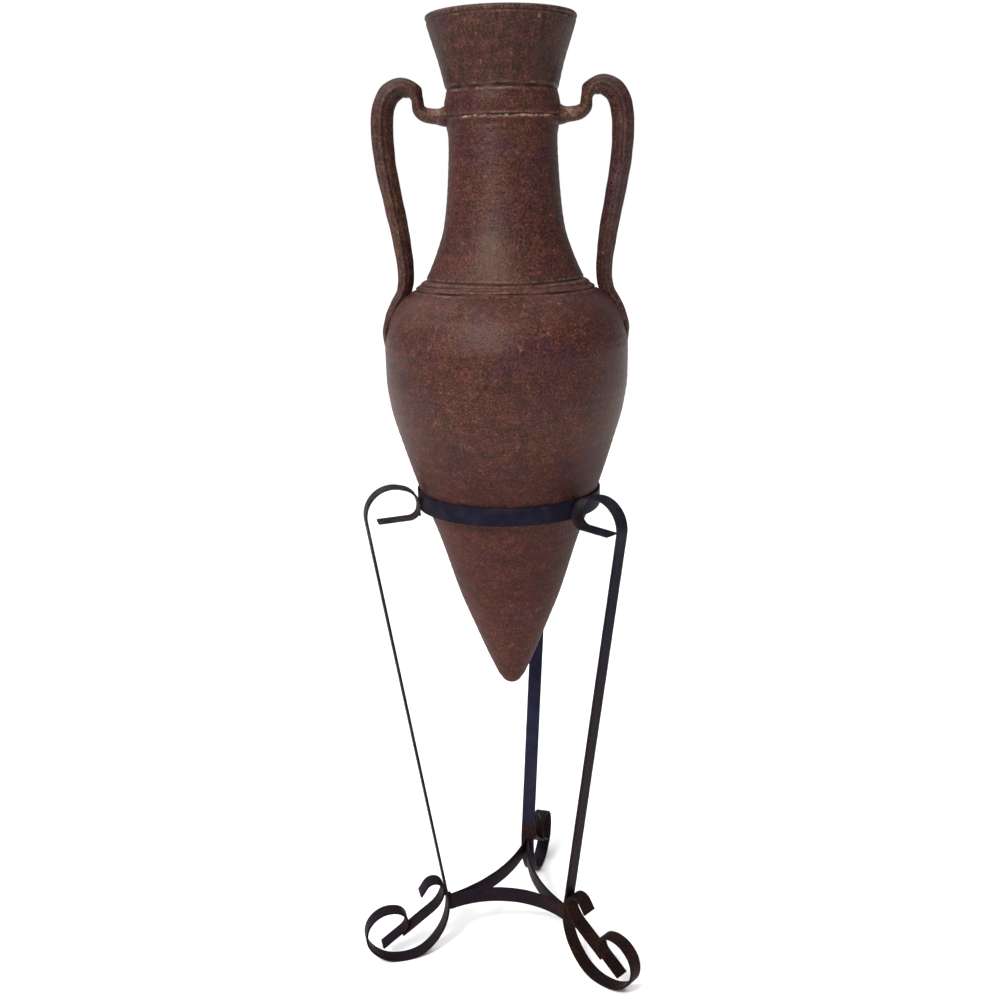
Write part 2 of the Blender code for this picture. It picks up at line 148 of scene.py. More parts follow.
# Incised lines: height, depth, half width, wander up and down, and how far the front dips.
GROOVES = (
    (636.4, 2.3, 1.5, 1.2, 0.0),
    (611.8, 1.5, 1.1, 0.9, 1.4),
    (451.9, 1.4, 1.0, 1.0, 0.0),
    (447.6, 0.9, 0.7, 1.8, 0.0),
    (442.3, 1.2, 0.9, 1.2, 0.0),
    (700.2, 1.1, 0.9, 0.9, 0.0),
)
CUP_BOTTOM = GROOVES[0][0]
# Lines wander as if drawn on a circle of this radius, over these lengths up and down and in depth.
LINE_CIRCLE, LINE_DRIFT_SIZE, LINE_DEPTH_SIZE = 60.0, 42.0, 16.0
# How strongly a line is cut, how much that varies, and its weakest and strongest places.
LINE_STRENGTH, LINE_VARIATION, LINE_LIMITS = 0.75, 0.9, (0.2, 1.2)
# A line this deep gets its full painted shade. Its painted highlights along its edges stand off
# by a share of its half width.
FULL_SHADE_DEPTH = 1.6
EDGE_OFFSET, EDGE_SPREAD = 1.9, 0.8
# The cordon's section: a flat-topped swell, from the exponents of its width and of its height.
CORDON_MIDDLE, CORDON_HALF, CORDON_PROUD = 447.0, 4.6, 2.8
CORDON_FLATNESS, CORDON_FULLNESS = 2.6, 0.6
# Pale chips run along the front below two lines: height, half width, and where they begin and are
# full on the way round to the front. The lower ones follow their line's dip.
LOWER_CHIPS, LOWER_CHIPS_HALF, LOWER_CHIPS_FRONT, LOWER_CHIPS_DIP = 610.7, 1.2, (0.25, 0.6), 1.4
UPPER_CHIPS, UPPER_CHIPS_HALF, UPPER_CHIPS_FRONT, UPPER_CHIPS_SHARE = 634.4, 1.1, (0.5, 0.9), 0.68
# A flake is missing from the front of the cup: height, direction in degrees, and half its size.
LIP_CHIP_HEIGHT, LIP_CHIP_DIRECTION, LIP_CHIP_SIZE = 695.4, 299.0, 2.4
# The lip is paler from here up.
PALER_LIP = (700.6, 702.0)
# Clay smeared against the handles: how proud it stands and how far it reaches, the heights between
# which it grows towards the top of the shoulder, and its smaller share at the pads.
SKIRT_PROUD, SKIRT_REACH = 3.6, 5.6
SKIRT_LOWEST = 380.0
SKIRT_STRIDE = 3
SKIRT_GROWS = (394.0, 432.0)
PAD_FROM, PAD_SHARE = 550.0, 0.4

HANDLE_SIDES = 56
HANDLE_STEPS = 12
HANDLE_SINK = 0.7
HANDLE_CAP = 2.0
TAIL_LEAST_PROUD = 1.5
STRAP_SQUARENESS = 0.04
# Lumps in a strap: how far they move its skin in the loop's plane and across it, and their size.
LUMP_OUT, LUMP_ACROSS, LUMP_SIZE = 0.5, 0.4, 16.0
# Places along a handle are counted in stations: where its flutes grow and fade, where its tail
# sinks in, and where its knuckle, the painted shade of the crease at its pad and its worn edges
# lie, with their spreads.
FLUTES_GROW, FLUTES_FADE, TAIL_SINKS = (2.0, 7.0), (15.5, 17.5), (17.4, 19.0)
KNUCKLE_AT, KNUCKLE_SPREAD, KNUCKLE_PROUD = 5.6, 0.3, 1.5
CREASE_AT, CREASE_SPREAD, CREASE_EDGES = 1.15, 0.16, (0.2, 0.8)
WORN_AT, WORN_SPREAD, WORN_EDGES = 1.9, 0.75, (0.2, 0.9)
# Flutes pulled along each strap: direction round its section from the outer edge, depth.
FLUTES = ((0.0, 0.4), (38.0, 0.9), (66.0, 1.3), (100.0, 1.6), (140.0, 0.4))
FLUTE_SPREAD = radians(12.0)
FLUTED_THICKNESS = 22.0
# The strap's inner half is narrower than its outer half, between these directions.
SET_BACK, SET_BACK_TURNS = 0.16, (radians(92.0), radians(125.0))
# How much painted shade a flute's depth, the crease and the narrower half get.
FLUTE_SHADE, CREASE_SHADE, INNER_SHADE = 0.3, 0.7, 0.24

# ---- Iron detail ----

BEND_STEP = 4.0
STRAIGHT_STEP = 5.0
RING_STEPS = 300
TIE_STEPS = 60
EDGE_RADIUS = 0.65
HAMMERED = 0.14
RING_HAMMERED = 0.12
DENT_SIZE, SMALL_DENT_SIZE, SMALL_DENT_SHARE = 13.0, 5.0, 0.6
JOINT_REACH = 16.0
# How much painted grey sheen each leg's loop gets, how much painted bluish sheen it gets above the
# ties, and how rusty it is lower down.
LOOP_SHEEN = {"right": 0.25, "left": 1.0, "rear": 0.4}
LEG_BLUE_SHEEN = {"right": 0.0, "left": 0.1, "rear": 1.0}
WARM = {"right": 1.0, "left": 0.75, "rear": 0.25}
TIE_WARM = 0.6
LOOP_SHEEN_HEIGHTS = (RING_BOTTOM - 60.0, RING_BOTTOM - 10.0)
BLUE_SHEEN_HEIGHTS = (TIE_HEIGHT + 10.0, TIE_HEIGHT + 40.0)
WARM_HEIGHTS = (TIE_HEIGHT + 90.0, RING_BOTTOM - 40.0)
WELD_RADIUS = 1.7
WELD_SEAT = 0.8 * WELD_RADIUS
WELD_LENGTH = 13.0
TIE_WELD_LENGTH = 9.0
WELD_SIDES, WELD_STEPS = 20, 36
WELD_PUDDLES, PUDDLE_PROUD = 5, 0.1
WELD_LUMPS, WELD_LUMP_SIZE = 0.22, 2.4
WELD_BLUNTNESS = 0.45
NOOK_STEP = 0.2


def smooth_through(stations):
    """A function that runs smoothly through (position, value) stations without overshooting them."""
    spans = [b[0] - a[0] for a, b in zip(stations, stations[1:])]
    slopes = [(b[1] - a[1]) / span for a, b, span in zip(stations, stations[1:], spans)]
    tangents = [slopes[0]]
    for before, after in zip(slopes, slopes[1:]):
        same_way = before * after > 0
        tangents.append(2 * before * after / (before + after) if same_way else 0.0)
    tangents.append(slopes[-1])

    def value(position):
        last = len(spans) - 1
        index = next((i for i in range(last) if position <= stations[i + 1][0]), last)
        start, span = stations[index], spans[index]
        t = (position - start[0]) / span
        rise = stations[index + 1][1] - start[1]
        cubic = t * t * (3 - 2 * t)
        ease_out = t * (1 - t) ** 2 * span * tangents[index]
        ease_in = t * t * (t - 1) * span * tangents[index + 1]
        return start[1] + rise * cubic + ease_out + ease_in

    return value


def bump(distance, spread):
    """1 at distance 0, falling smoothly away to a third at the spread given."""
    return np.exp(-((distance / spread) ** 2))


def ease(low, high, value):
    """0 up to low, 1 from high, and a smooth rise between them."""
    share = np.clip((value - low) / (high - low), 0.0, 1.0)
    return share * share * (3 - 2 * share)


def wander(points, size, seed):
    """Smooth noise from -1 to 1 at rows of points in millimetres, with features of about size."""
    offset = Vector((seed * 17.3, seed * -9.1, seed * 5.7))
    return np.array([noise.noise(Vector(point) / size + offset) for point in points])


# ---- Meshes ----

def new_object(name, data):
    """A new object of the scene that holds a mesh, a light or a camera."""
    obj = bpy.data.objects.new(name, data)
    bpy.context.scene.collection.objects.link(obj)
    return obj


def add_piece(name, rings, caps, material, attributes, looped=False):
    """A piece whose skin runs through rings of equally many points, in millimetres from the axis.
    It closes on the two cap points, or on itself where looped. attributes gives one number for
    each ring point."""
    rings = np.asarray(rings, float)
    count, sides = rings.shape[:2]
    index = np.arange(count * sides).reshape(count, sides)
    after = np.roll(index, -1, axis=1)
    quads = np.stack([index[:-1], after[:-1], after[1:], index[1:]], axis=-1).reshape(-1, 4).tolist()
    points = rings.reshape(-1, 3)
    if looped:
        quads += np.stack([index[-1], after[-1], after[0], index[0]], axis=-1).tolist()
    else:
        points = np.vstack([points, caps])
        first, last = count * sides, count * sides + 1
        quads += [(first, int(b), int(a)) for a, b in zip(index[0], after[0])]
        quads += [(last, int(a), int(b)) for a, b in zip(index[-1], after[-1])]
    mesh = bpy.data.meshes.new(name)
    mesh.from_pydata((points * MM + np.array(AXIS)).tolist(), [], quads)
    for key, values in attributes.items():
        padded = np.zeros(len(points), np.float32)
        padded[: count * sides] = np.asarray(values, np.float32).ravel()
        mesh.attributes.new(key, "FLOAT", "POINT").data.foreach_set("value", padded)
    work = bmesh.new()
    work.from_mesh(mesh)
    bmesh.ops.recalc_face_normals(work, faces=work.faces)
    work.to_mesh(mesh)
    work.free()
    mesh.shade_smooth()
    mesh.materials.append(material)
    return new_object(name, mesh)


def place_piece(obj, body, slot, *nodes):
    """Puts a piece on its body, in place of its CAD nodes. The slot is not used."""
    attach(obj, body)
    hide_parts(*nodes)


# ---- Clay shapes ----

body_radius = smooth_through(BODY_STATIONS)
neck_radius = smooth_through(NECK_STATIONS)
neck_inner_radius = smooth_through(NECK_INNER_STATIONS)


def clay_radius(height):
    """The outside of the clay with its cordon, before any ripples or lines."""
    plain = body_radius(height) if height < SEAM_HEIGHT else neck_radius(height)
    across = abs(height - CORDON_MIDDLE) / CORDON_HALF
    return plain + CORDON_PROUD * max(0.0, 1 - across**CORDON_FLATNESS) ** CORDON_FULLNESS


def stepped(low, high, step):
    """Even steps of about the size given, from low to just below high."""
    count = max(1, round((high - low) / step))
    return [low + (high - low) * i / count for i in range(count)]


def urn_profile():
    """(radius, height) from the tip up the outside, over the lip and down the inside, and how
    many of them lie on the outside below the lip."""
    profile = [(NOSE_RADIUS * sin(turn), NOSE_RADIUS * (1 - cos(turn))) for turn in NOSE_TURNS]
    reached = BODY_STATIONS[0][0]
    for low, high in FINE_STRETCHES:
        heights = stepped(reached, low, COARSE_STEP) + stepped(low, high, FINE_STEP)
        profile += [(clay_radius(height), height) for height in heights]
        reached = high
    below_lip = len(profile)
    profile += LIP_OUTLINE
    neck_inside = stepped(SEAM_HEIGHT, NECK_INNER_STATIONS[-1][0], INSIDE_STEP)
    profile += [(neck_inner_radius(height), height) for height in reversed(neck_inside)]
    body_inside = stepped(INNER_WALL_START, SEAM_HEIGHT, INSIDE_STEP)
    profile += [(body_radius(height) - CLAY_WALL, height) for height in reversed(body_inside)]
    profile.append(INNER_FLOOR_EDGE)
    return np.array(profile), below_lip


def handle_line():
    """(radius, height, thickness, width, heading) of each section along a handle."""
    columns = [smooth_through(list(enumerate(column))) for column in zip(*HANDLE_STATIONS)]
    count = (len(HANDLE_STATIONS) - 1) * HANDLE_STEPS
    sections = [[column(i / HANDLE_STEPS) for column in columns] for i in range(count + 1)]
    line = []
    for i, section in enumerate(sections):
        before, after = sections[max(i - 1, 0)], sections[min(i + 1, count)]
        line.append((*section, atan2(after[1] - before[1], after[0] - before[0])))
    return np.array(line)


def skin_points(radius, height, around):
    """The points of the thrown skin, from the radius, height and direction of each."""
    return np.stack([radius * around[:, 0], radius * around[:, 1], height], axis=-1)


def throwing_marks(radius, height, turns, around, outside):
    """Slow wobble all over, and the spiral ripple outside. The ring's seat and the nose stay calm."""
    rows = skin_points(radius, height, around).reshape(-1, 3)
    wobble = wander(rows, WOBBLE_SIZE, 1).reshape(radius.shape) * OUT_OF_ROUND
    swell = wander(rows, SWELL_SIZE, 2).reshape(radius.shape)
    wave = np.sin(2 * pi * height / THROWING_RISE + turns + SWELL_SHIFT * swell)
    ripple = wave * THROWING_DEPTH * (LEAST_SWELL + swell)
    off_ring = 1 - bump(height + URN_TIP_HEIGHT - RING_BOTTOM - RING_WIDTH / 2, RING_CALM)
    return (wobble + np.where(outside, ripple, 0.0)) * off_ring * ease(*NOSE_CALM, height)


def incised_lines(height, around, outside):
    """Lines cut by hand, so they wander up and down and vary in depth: how deep they cut, the painted
    shade in them and the painted highlight along their edges."""
    circle = np.stack([around[:, 0], around[:, 1], np.zeros(URN_SIDES)], axis=-1) * LINE_CIRCLE
    front = ease(*FRONT, -around[:, 1])
    deep, dark, pale = (np.zeros_like(height) for _ in range(3))
    for number, (line_height, depth, half_width, drift, dip) in enumerate(GROOVES):
        course = line_height + drift * wander(circle, LINE_DRIFT_SIZE, 10 + number) - dip * front
        uneven = LINE_VARIATION * wander(circle, LINE_DEPTH_SIZE, 30 + number)
        strength = np.clip(LINE_STRENGTH + uneven, *LINE_LIMITS)
        cut = np.where(outside, bump(height - course, half_width) * strength, 0.0)
        darkness = min(1.0, depth / FULL_SHADE_DEPTH)
        deep += depth * cut
        dark = np.maximum(dark, np.clip(cut * darkness, 0.0, 1.0))
        for side in (EDGE_OFFSET, -EDGE_OFFSET):
            lit = bump(height - course - side * half_width, EDGE_SPREAD * half_width) * strength
            pale = np.maximum(pale, np.where(outside, lit * darkness, 0.0))
    return deep, dark, pale


def smeared_clay(radius, height, around, outside, line):
    """How proud the clay stands that is smeared up against the handles' pads and tails."""
    near = outside & (height > SKIRT_LOWEST)
    out = np.abs(radius * around[:, 0])[near]
    up = height[near]
    sideways = (radius * around[:, 1])[near]
    nearest = np.full(out.shape, FAR)
    for r, z, thickness, width, _ in line[::SKIRT_STRIDE]:
        across = sideways * thickness / width
        away = np.sqrt((out - r) ** 2 + (up - z) ** 2 + across**2)
        nearest = np.minimum(nearest, away - thickness / 2)
    smear = np.zeros_like(radius)
    smear[near] = bump(np.maximum(nearest, 0.0), SKIRT_REACH)
    return SKIRT_PROUD * smear * ease(*SKIRT_GROWS, height) * np.where(height > PAD_FROM, PAD_SHARE, 1.0)


def chipped_clay(height, around, outside):
    """Where pale chips run along the front, below the two lines round the collar."""
    frontness = -around[:, 1]
    lower_course = LOWER_CHIPS - LOWER_CHIPS_DIP * ease(*FRONT, frontness)
    lower = bump(height - lower_course, LOWER_CHIPS_HALF) * ease(*LOWER_CHIPS_FRONT, frontness) * outside
    upper = bump(height - UPPER_CHIPS, UPPER_CHIPS_HALF) * ease(*UPPER_CHIPS_FRONT, frontness)
    return np.maximum(lower, upper * UPPER_CHIPS_SHARE)


def build_urn(clay, line):
    """The whole thrown pot as one skin, with its ripples, incised lines and smeared joints."""
    profile, below_lip = urn_profile()
    turns = 2 * pi * np.arange(URN_SIDES) / URN_SIDES
    around = np.stack([np.cos(turns), np.sin(turns)], axis=-1)
    radius = np.repeat(profile[:, :1], URN_SIDES, axis=1)
    height = np.repeat(profile[:, 1:], URN_SIDES, axis=1)
    number = np.arange(len(profile))[:, None]
    outside = number < below_lip
    up_to_lip = number < below_lip + len(LIP_OUTLINE) - 1

    deep, dark, pale = incised_lines(height, around, outside)
    radius += throwing_marks(radius, height, turns, around, outside)
    radius -= deep
    radius += smeared_clay(radius, height, around, outside, line)

    off_flake = np.hypot(radius * (turns - radians(LIP_CHIP_DIRECTION)), height - LIP_CHIP_HEIGHT)
    attributes = {
        # The first two are painted light: shade in the lines and highlight along their edges.
        "painted_shade": dark,
        "edge": pale,
        "chip": chipped_clay(height, around, outside),
        "flake": bump(off_flake, LIP_CHIP_SIZE),
        "rim": ease(*PALER_LIP, height) * up_to_lip,
    }
    rings = skin_points(radius, height + URN_TIP_HEIGHT, around)
    caps = np.array([(0.0, 0.0, URN_TIP_HEIGHT), (0.0, 0.0, INNER_FLOOR + URN_TIP_HEIGHT)])
    urn = add_piece("amphora", rings, caps, clay, attributes)
    place_piece(urn, "urn", "fired_clay", "urn_body", "urn_neck", "neck_collar", "shoulder_cordon")


def flute(turn):
    """How deep the flutes lie at a direction round a strap's section, in millimetres."""
    return sum(depth * bump(abs(turn) - radians(at), FLUTE_SPREAD) for at, depth in FLUTES)


def strap_section(along, station, side):
    """One ring round a strap: its points, its painted shade in the flutes, crease and inner half, and
    how worn its edges are.
    """
    radius, height, thickness, width, heading = station
    fluted = ease(*FLUTES_GROW, along) * (1 - ease(*FLUTES_FADE, along))
    sunk = ease(*TAIL_SINKS, along)
    section, hollow_shade, wear = [], [], []
    for number in range(HANDLE_SIDES):
        turn = 2 * pi * number / HANDLE_SIDES - pi
        edgeways = abs(sin(turn))
        depth = flute(turn) * fluted * thickness / FLUTED_THICKNESS
        inner = fluted * ease(*SET_BACK_TURNS, abs(turn))
        squareness = 1 + STRAP_SQUARENESS * cos(4 * turn)
        knuckle = KNUCKLE_PROUD * bump(along - KNUCKLE_AT, KNUCKLE_SPREAD) * max(0.0, cos(turn))
        outwards = (thickness / 2 * squareness - depth + knuckle) * cos(turn)
        across = (width / 2 * squareness * (1 - SET_BACK * inner) - depth) * sin(turn)
        x = radius - outwards * sin(heading)
        z = height + outwards * cos(heading)
        lump = noise.noise(Vector((x, across, z)) / LUMP_SIZE + Vector((50 + side, 0, 0)))
        x += LUMP_OUT * lump * abs(cos(turn))
        across += LUMP_ACROSS * lump * sin(turn)
        proud = max(0.0, cos(turn)) * (1 - sunk) if height < SEAM_HEIGHT else 0.0
        reach = clay_radius(z) - HANDLE_SINK * (1 - proud) + TAIL_LEAST_PROUD * proud
        if hypot(x, across) < reach:
            x = max(reach**2 - across**2, 0.0) ** 0.5
        section.append((side * x, across, z + URN_TIP_HEIGHT))
        # Painted shade: in the flutes, in the crease by the pad and on the narrower inner half.
        crease = bump(along - CREASE_AT, CREASE_SPREAD) * ease(*CREASE_EDGES, edgeways)
        hollow_shade.append(max(FLUTE_SHADE * depth, CREASE_SHADE * crease, INNER_SHADE * inner))
        wear.append(bump(along - WORN_AT, WORN_SPREAD) * ease(*WORN_EDGES, edgeways))
    return section, hollow_shade, wear


def build_handle(name, side, clay, line):
    """A pulled, fluted strap from its pad on the collar, over the loop, to its smeared tail.
    side is 1 at +X and -1 at -X."""
    sections = [strap_section(i / HANDLE_STEPS, station, side) for i, station in enumerate(line)]
    rings, hollow_shade, worn = zip(*sections)
    pad_radius, pad_height = line[0][:2]
    tail_end = line[-1][1] - HANDLE_CAP
    caps = np.array([
        (side * (pad_radius - HANDLE_CAP), 0.0, pad_height + URN_TIP_HEIGHT),
        (side * clay_radius(tail_end), 0.0, tail_end + URN_TIP_HEIGHT),
    ])
    # The first entry is painted shade in the flutes, the crease and the inner half.
    attributes = {"painted_shade": hollow_shade, "worn": worn, "dust_and_sheen": np.ones_like(worn)}
    handle = add_piece(f"{name}_strap", rings, caps, clay, attributes)
    place_piece(handle, "urn", "fired_clay", name)


# ---- Iron shapes ----

def run_steps(run):
    """How many short steps a run is drawn in."""
    size, step = (run[0], STRAIGHT_STEP) if len(run) == 1 else (run[1], BEND_STEP)
    return max(2, round(abs(size) / step))


def bend_path(start, heading, runs):
    """Centre points and headings (radians) of a bar bent through runs from start."""
    r, z = start
    turn = radians(heading)
    path = [(r, z, turn)]
    for run in runs:
        straight = len(run) == 1
        steps = run_steps(run)
        step = 0.0 if straight else radians(run[1]) / steps
        chord = run[0] / steps if straight else 2 * run[0] * sin(abs(step) / 2)
        for _ in range(steps):
            r += chord * cos(turn + step / 2)
            z += chord * sin(turn + step / 2)
            turn += step
            path.append((r, z, turn))
    return path


def shifted(path, dr, dz):
    return [(r + dr, z + dz, turn) for r, z, turn in path]


def leg_profile():
    """The whole leg, and the points on it that its neighbours meet."""
    foot = bend_path((0.0, 0.0), 270.0, FOOT_RUNS)
    waist = (WAIST_BEND, -LEG_LEAN)
    rise = bend_path((0.0, 0.0), 90.0, (waist, (LEG_STRAIGHT,)))
    r, z, turn = rise[-1]
    loop = bend_path((r, z), degrees(turn), LOOP_RUNS)
    dr = RING_RADIUS + GAP + BAR_THICKNESS / 2 - min(r for r, z, turn in loop)
    dz = BAR_THICKNESS / 2 - min(z for r, z, turn in foot)
    foot, rise, loop = (shifted(path, dr, dz) for path in (foot, rise, loop))
    backwards = [(r, z, turn + pi) for r, z, turn in reversed(foot)]
    marks = {
        "waist": foot[0],
        "straight": rise[run_steps(waist)],
        "ring_touch": min(loop, key=lambda point: point[0]),
        "tail": foot[-1 - run_steps(FOOT_RUNS[-1])],
    }
    return backwards + rise[1:] + loop[1:], marks


def beside(point, distance):
    """The point that lies a distance to the right of a path's heading."""
    r, z, turn = point
    return r + distance * sin(turn), z - distance * cos(turn)


def distance_right_of(point, line):
    """How far a point lies to the right of the line through a path point along its heading."""
    r, z, turn = line
    return (point[0] - r) * sin(turn) - (point[1] - z) * cos(turn)


def brace_profile(marks):
    """The brace: under the scroll's tail, straight up to the leg's outer face, and the hook."""
    r, z = beside(marks["tail"], BAR_THICKNESS + GAP)
    tail_turn = marks["tail"][2]
    start = (r + BRACE_LAP * cos(tail_turn), z + BRACE_LAP * sin(tail_turn))
    climb = tail_turn + pi
    hook = bend_path(start, degrees(climb), HOOK_RUNS)
    leg_line = marks["straight"]
    reach = min(distance_right_of(point, leg_line) for point in hook)
    straight = (reach - BAR_THICKNESS - GAP) / sin(climb - leg_line[2])
    return bend_path(start, degrees(climb), ((straight,), *HOOK_RUNS))


class LegPlace:
    """Puts (distance, height, sideways) of one leg's plane into the object's frame."""

    def __init__(self, ring_direction, plane_direction, lean):
        self.pivot = RING_RADIUS + GAP + BAR_THICKNESS / 2
        ring_turn, plane_turn = radians(ring_direction), radians(plane_direction)
        self.base = Vector((cos(ring_turn), sin(ring_turn), 0.0)) * self.pivot
        self.out = Vector((cos(plane_turn), sin(plane_turn), 0.0))
        self.side = Vector((-sin(plane_turn), cos(plane_turn), 0.0))
        self.lean = lean * MM

    def point(self, r, z, sideways=0.0):
        sideways += self.lean * (RING_BOTTOM - z)
        return self.base + self.out * (r - self.pivot) + self.side * sideways + Vector((0.0, 0.0, z))


def bar_section(width, thickness):
    """A flat bar's section with rounded edges, as (across the thickness, across the width)."""
    half_t, half_w = thickness / 2, width / 2
    inner_t, inner_w = half_t - EDGE_RADIUS, half_w - EDGE_RADIUS
    corners = ((inner_t, inner_w), (-inner_t, inner_w), (-inner_t, -inner_w), (inner_t, -inner_w))
    outline = []
    for number, (t, w) in enumerate(corners):
        for turn in (0, 30, 60, 90):
            direction = radians(90 * number + turn)
            outline.append((t + EDGE_RADIUS * cos(direction), w + EDGE_RADIUS * sin(direction)))
        next_t, next_w = corners[(number + 1) % 4]
        along_width = t == next_t
        if along_width:
            from_t, from_w = outline[-1]
            outline += [(from_t, from_w + (next_w - w) * share) for share in (0.2, 0.4, 0.6, 0.8)]
    return outline


def bar_rings(stations, width, thickness):
    """Rings of points along a bar. A station is (middle, across the thickness, across the width),
    and the two ends are drawn in a little so that they look cut and filed."""
    outline = bar_section(width, thickness)
    slim = [(t * (1 - EDGE_RADIUS / thickness), w * (1 - EDGE_RADIUS / width)) for t, w in outline]
    rings = []
    last = len(stations) - 1
    for i, (middle, thin, wide) in enumerate(stations):
        section = slim if i in (0, last) else outline
        rings.append([middle + thin * t + wide * w for t, w in section])
    return rings


def hammered(rings, seed, amount=HAMMERED):
    """Moves each ring's points in and out a little, as hammering leaves a bar."""
    rings = np.array([[tuple(point) for point in ring] for ring in rings])
    middles = rings.mean(axis=1, keepdims=True)
    outward = rings - middles
    outward /= np.linalg.norm(outward, axis=2, keepdims=True)
    flat = rings.reshape(-1, 3)
    dents = wander(flat, DENT_SIZE, seed) + SMALL_DENT_SHARE * wander(flat, SMALL_DENT_SIZE, seed + 1)
    return rings + outward * (dents.reshape(rings.shape[:2] + (1,)) * amount - amount / 2)


def near_joint(rings, places):
    """1 near any of the joints' places, falling away beyond their reach, for each ring point."""
    level = np.zeros(rings.shape[:2])
    for place in places:
        distance = np.linalg.norm(rings - np.array(place), axis=2)
        level = np.maximum(level, bump(distance, JOINT_REACH))
    return level


def end_trimmed(path):
    """The path with a short extra step before each end, where the bar's end is drawn in."""
    (r0, z0, t0), (r1, z1, t1) = path[0], path[-1]
    first = (r0 + EDGE_RADIUS * cos(t0), z0 + EDGE_RADIUS * sin(t0), t0)
    last = (r1 - EDGE_RADIUS * cos(t1), z1 - EDGE_RADIUS * sin(t1), t1)
    return [path[0], first, *path[1:-1], last, path[-1]]


def add_bar(name, rings, iron, attributes):
    """A bar in place of the CAD bar of that name, closed on the middles of its end rings."""
    caps = (rings[0].mean(axis=0), rings[-1].mean(axis=0))
    bar = add_piece(f"{name}_bar", rings, caps, iron, attributes)
    place_piece(bar, "stand", "black_iron", name)


def build_upright_bar(name, path, width, place, iron, joints, leg, seed):
    """A flat bar bent along a path in a leg's plane, its width across the plane."""
    stations = []
    for r, z, turn in end_trimmed(path):
        middle = place.point(r, z)
        edge = place.point(*beside((r, z, turn), 1.0))
        stations.append((middle, edge - middle, place.side))
    rings = hammered(bar_rings(stations, width, BAR_THICKNESS), seed)
    height = rings[:, :, 2]
    attributes = {
        "joint": near_joint(rings, joints),
        # The loop's grey and the bluish tint above the ties are painted sheen.
        "dust_and_sheen": LOOP_SHEEN[leg] * ease(*LOOP_SHEEN_HEIGHTS, height),
        "blue_sheen": LEG_BLUE_SHEEN[leg] * ease(*BLUE_SHEEN_HEIGHTS, height),
        "warm": WARM[leg] * (1 - ease(*WARM_HEIGHTS, height)),
    }
    add_bar(name, rings, iron, attributes)


def arc_through(a, b, c, steps):
    """Points, and normals away from its centre, along the flat arc from a through b to c."""
    ab, ac = b - a, c - a
    twice_area = 2 * (ab.x * ac.y - ab.y * ac.x)
    square_b, square_c = ab.length_squared, ac.length_squared
    centre = a + Vector((ac.y * square_b - ab.y * square_c, ab.x * square_c - ac.x * square_b)) / twice_area
    first, last = a - centre, c - centre
    whole = first.angle_signed(last)
    result = []
    for i in range(steps + 1):
        turn = atan2(first.y, first.x) - whole * i / steps
        normal = Vector((cos(turn), sin(turn)))
        result.append((centre + normal * first.length, normal))
    return result


def tie_end(place, waist, towards):
    """Where a tie meets a leg's inner face, beside the other tie that meets it there."""
    inner_face = waist[0] - BAR_THICKNESS / 2 - 2 * GAP
    beside_middle = (BAR_THICKNESS + GAP) / 2
    choices = [place.point(inner_face, TIE_HEIGHT, side * beside_middle).to_2d() for side in (1, -1)]
    return min(choices, key=lambda choice: (choice - towards).length)


def build_tie(name, places, waist, iron, seed):
    """A flat bar on edge, bowed towards the axis between two legs."""
    middles = [place.point(waist[0], TIE_HEIGHT).to_2d() for place in places]
    between = (middles[0].normalized() + middles[1].normalized()).normalized() * TIE_MID_RADIUS
    ends = [tie_end(place, waist, between) for place in places]
    stations = []
    for middle, normal in arc_through(ends[0], between, ends[1], TIE_STEPS):
        stations.append((Vector((*middle, TIE_HEIGHT)), Vector((*normal, 0.0)), Vector((0.0, 0.0, 1.0))))
    rings = hammered(bar_rings(stations, BAR_WIDTH, BAR_THICKNESS), seed)
    joints = [(*end, TIE_HEIGHT) for end in ends]
    attributes = {"joint": near_joint(rings, joints), "warm": np.full(rings.shape[:2], TIE_WARM)}
    add_bar(name, rings, iron, attributes)


def distance_to_path(point, path):
    """The shortest distance from a point to a path's centre line."""
    best = FAR
    for (r0, z0, _), (r1, z1, _) in zip(path, path[1:]):
        span_r, span_z = r1 - r0, z1 - z0
        share = ((point[0] - r0) * span_r + (point[1] - z0) * span_z) / (span_r**2 + span_z**2)
        share = min(1.0, max(0.0, share))
        best = min(best, hypot(point[0] - r0 - share * span_r, point[1] - z0 - share * span_z))
    return best


def nook(start, heading, path):
    """The first place for a weld, going from start along heading, that is clear of a bar's path."""
    r, z = start
    while distance_to_path((r, z), path) < BAR_THICKNESS / 2 + WELD_SEAT:
        r += NOOK_STEP * cos(heading)
        z += NOOK_STEP * sin(heading)
    return r, z


def weld_places(leg, brace, marks):
    """Where each leg's four weld beads lie in its plane."""
    on_bar = BAR_THICKNESS / 2 + WELD_SEAT
    leg_line = marks["straight"]
    leg_turn = leg_line[2]
    touch = min(brace, key=lambda point: distance_right_of(point, leg_line))
    inset = distance_right_of(touch, leg_line) - on_bar
    beside_leg = beside((*touch[:2], leg_turn), -inset)
    tie_top = TIE_HEIGHT + BAR_WIDTH / 2
    return {
        "ring_weld": nook((RING_RADIUS + WELD_SEAT, marks["ring_touch"][1]), -pi / 2, leg),
        "hook_weld": nook(beside_leg, leg_turn + pi, brace),
        "foot_weld": nook(beside(brace[0], on_bar), brace[0][2], leg),
        "tie_weld": nook((marks["waist"][0] - on_bar, tie_top + WELD_SEAT), pi, leg),
    }


